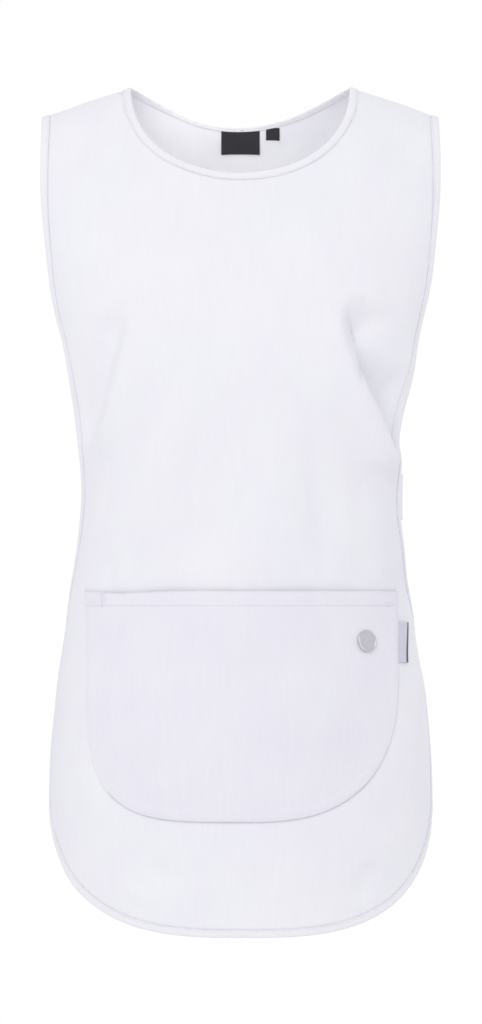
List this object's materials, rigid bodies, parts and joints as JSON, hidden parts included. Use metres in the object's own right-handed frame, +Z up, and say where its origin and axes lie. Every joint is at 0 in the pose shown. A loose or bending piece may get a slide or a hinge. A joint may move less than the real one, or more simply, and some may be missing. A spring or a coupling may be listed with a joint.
{
  "type": "work tunic",
  "caption": "Sleeveless pull-over work tunic with a wide round neck, open bound sides joined by waist tabs, rounded hem corners and one wide patch pocket.",
  "frame": {"origin": "midway between the two points where the neckline meets the shoulders, at the height of the wearer's shoulders, which carry the tunic", "axes": "+Z up; -Y out of the front; +X towards the right of someone who looks at the front, which is the wearer's left"},
  "size_m": [0.3608, 0.2481, 0.7659],
  "materials": {
    "twill": "fine white cotton and polyester twill, matt, with a faint cool tint",
    "tape": "white folded tape, matt",
    "black_label": "black woven satin",
    "grey_label": "grey woven ribbon with a dark green edge stripe",
    "metal": "satin silver"
  },
  "bodies": {
    "root": {"front_panel": "twill", "back_panel": "twill", "edge_binding_front": "tape", "edge_binding_back": "tape", "neck_binding": "tape", "pocket": "twill", "side_tab_right": "twill", "side_tab_left": "twill", "neck_label": "black_label", "size_label": "black_label", "side_label": "grey_label", "badge": "metal"}
  },
  "joints": []
}
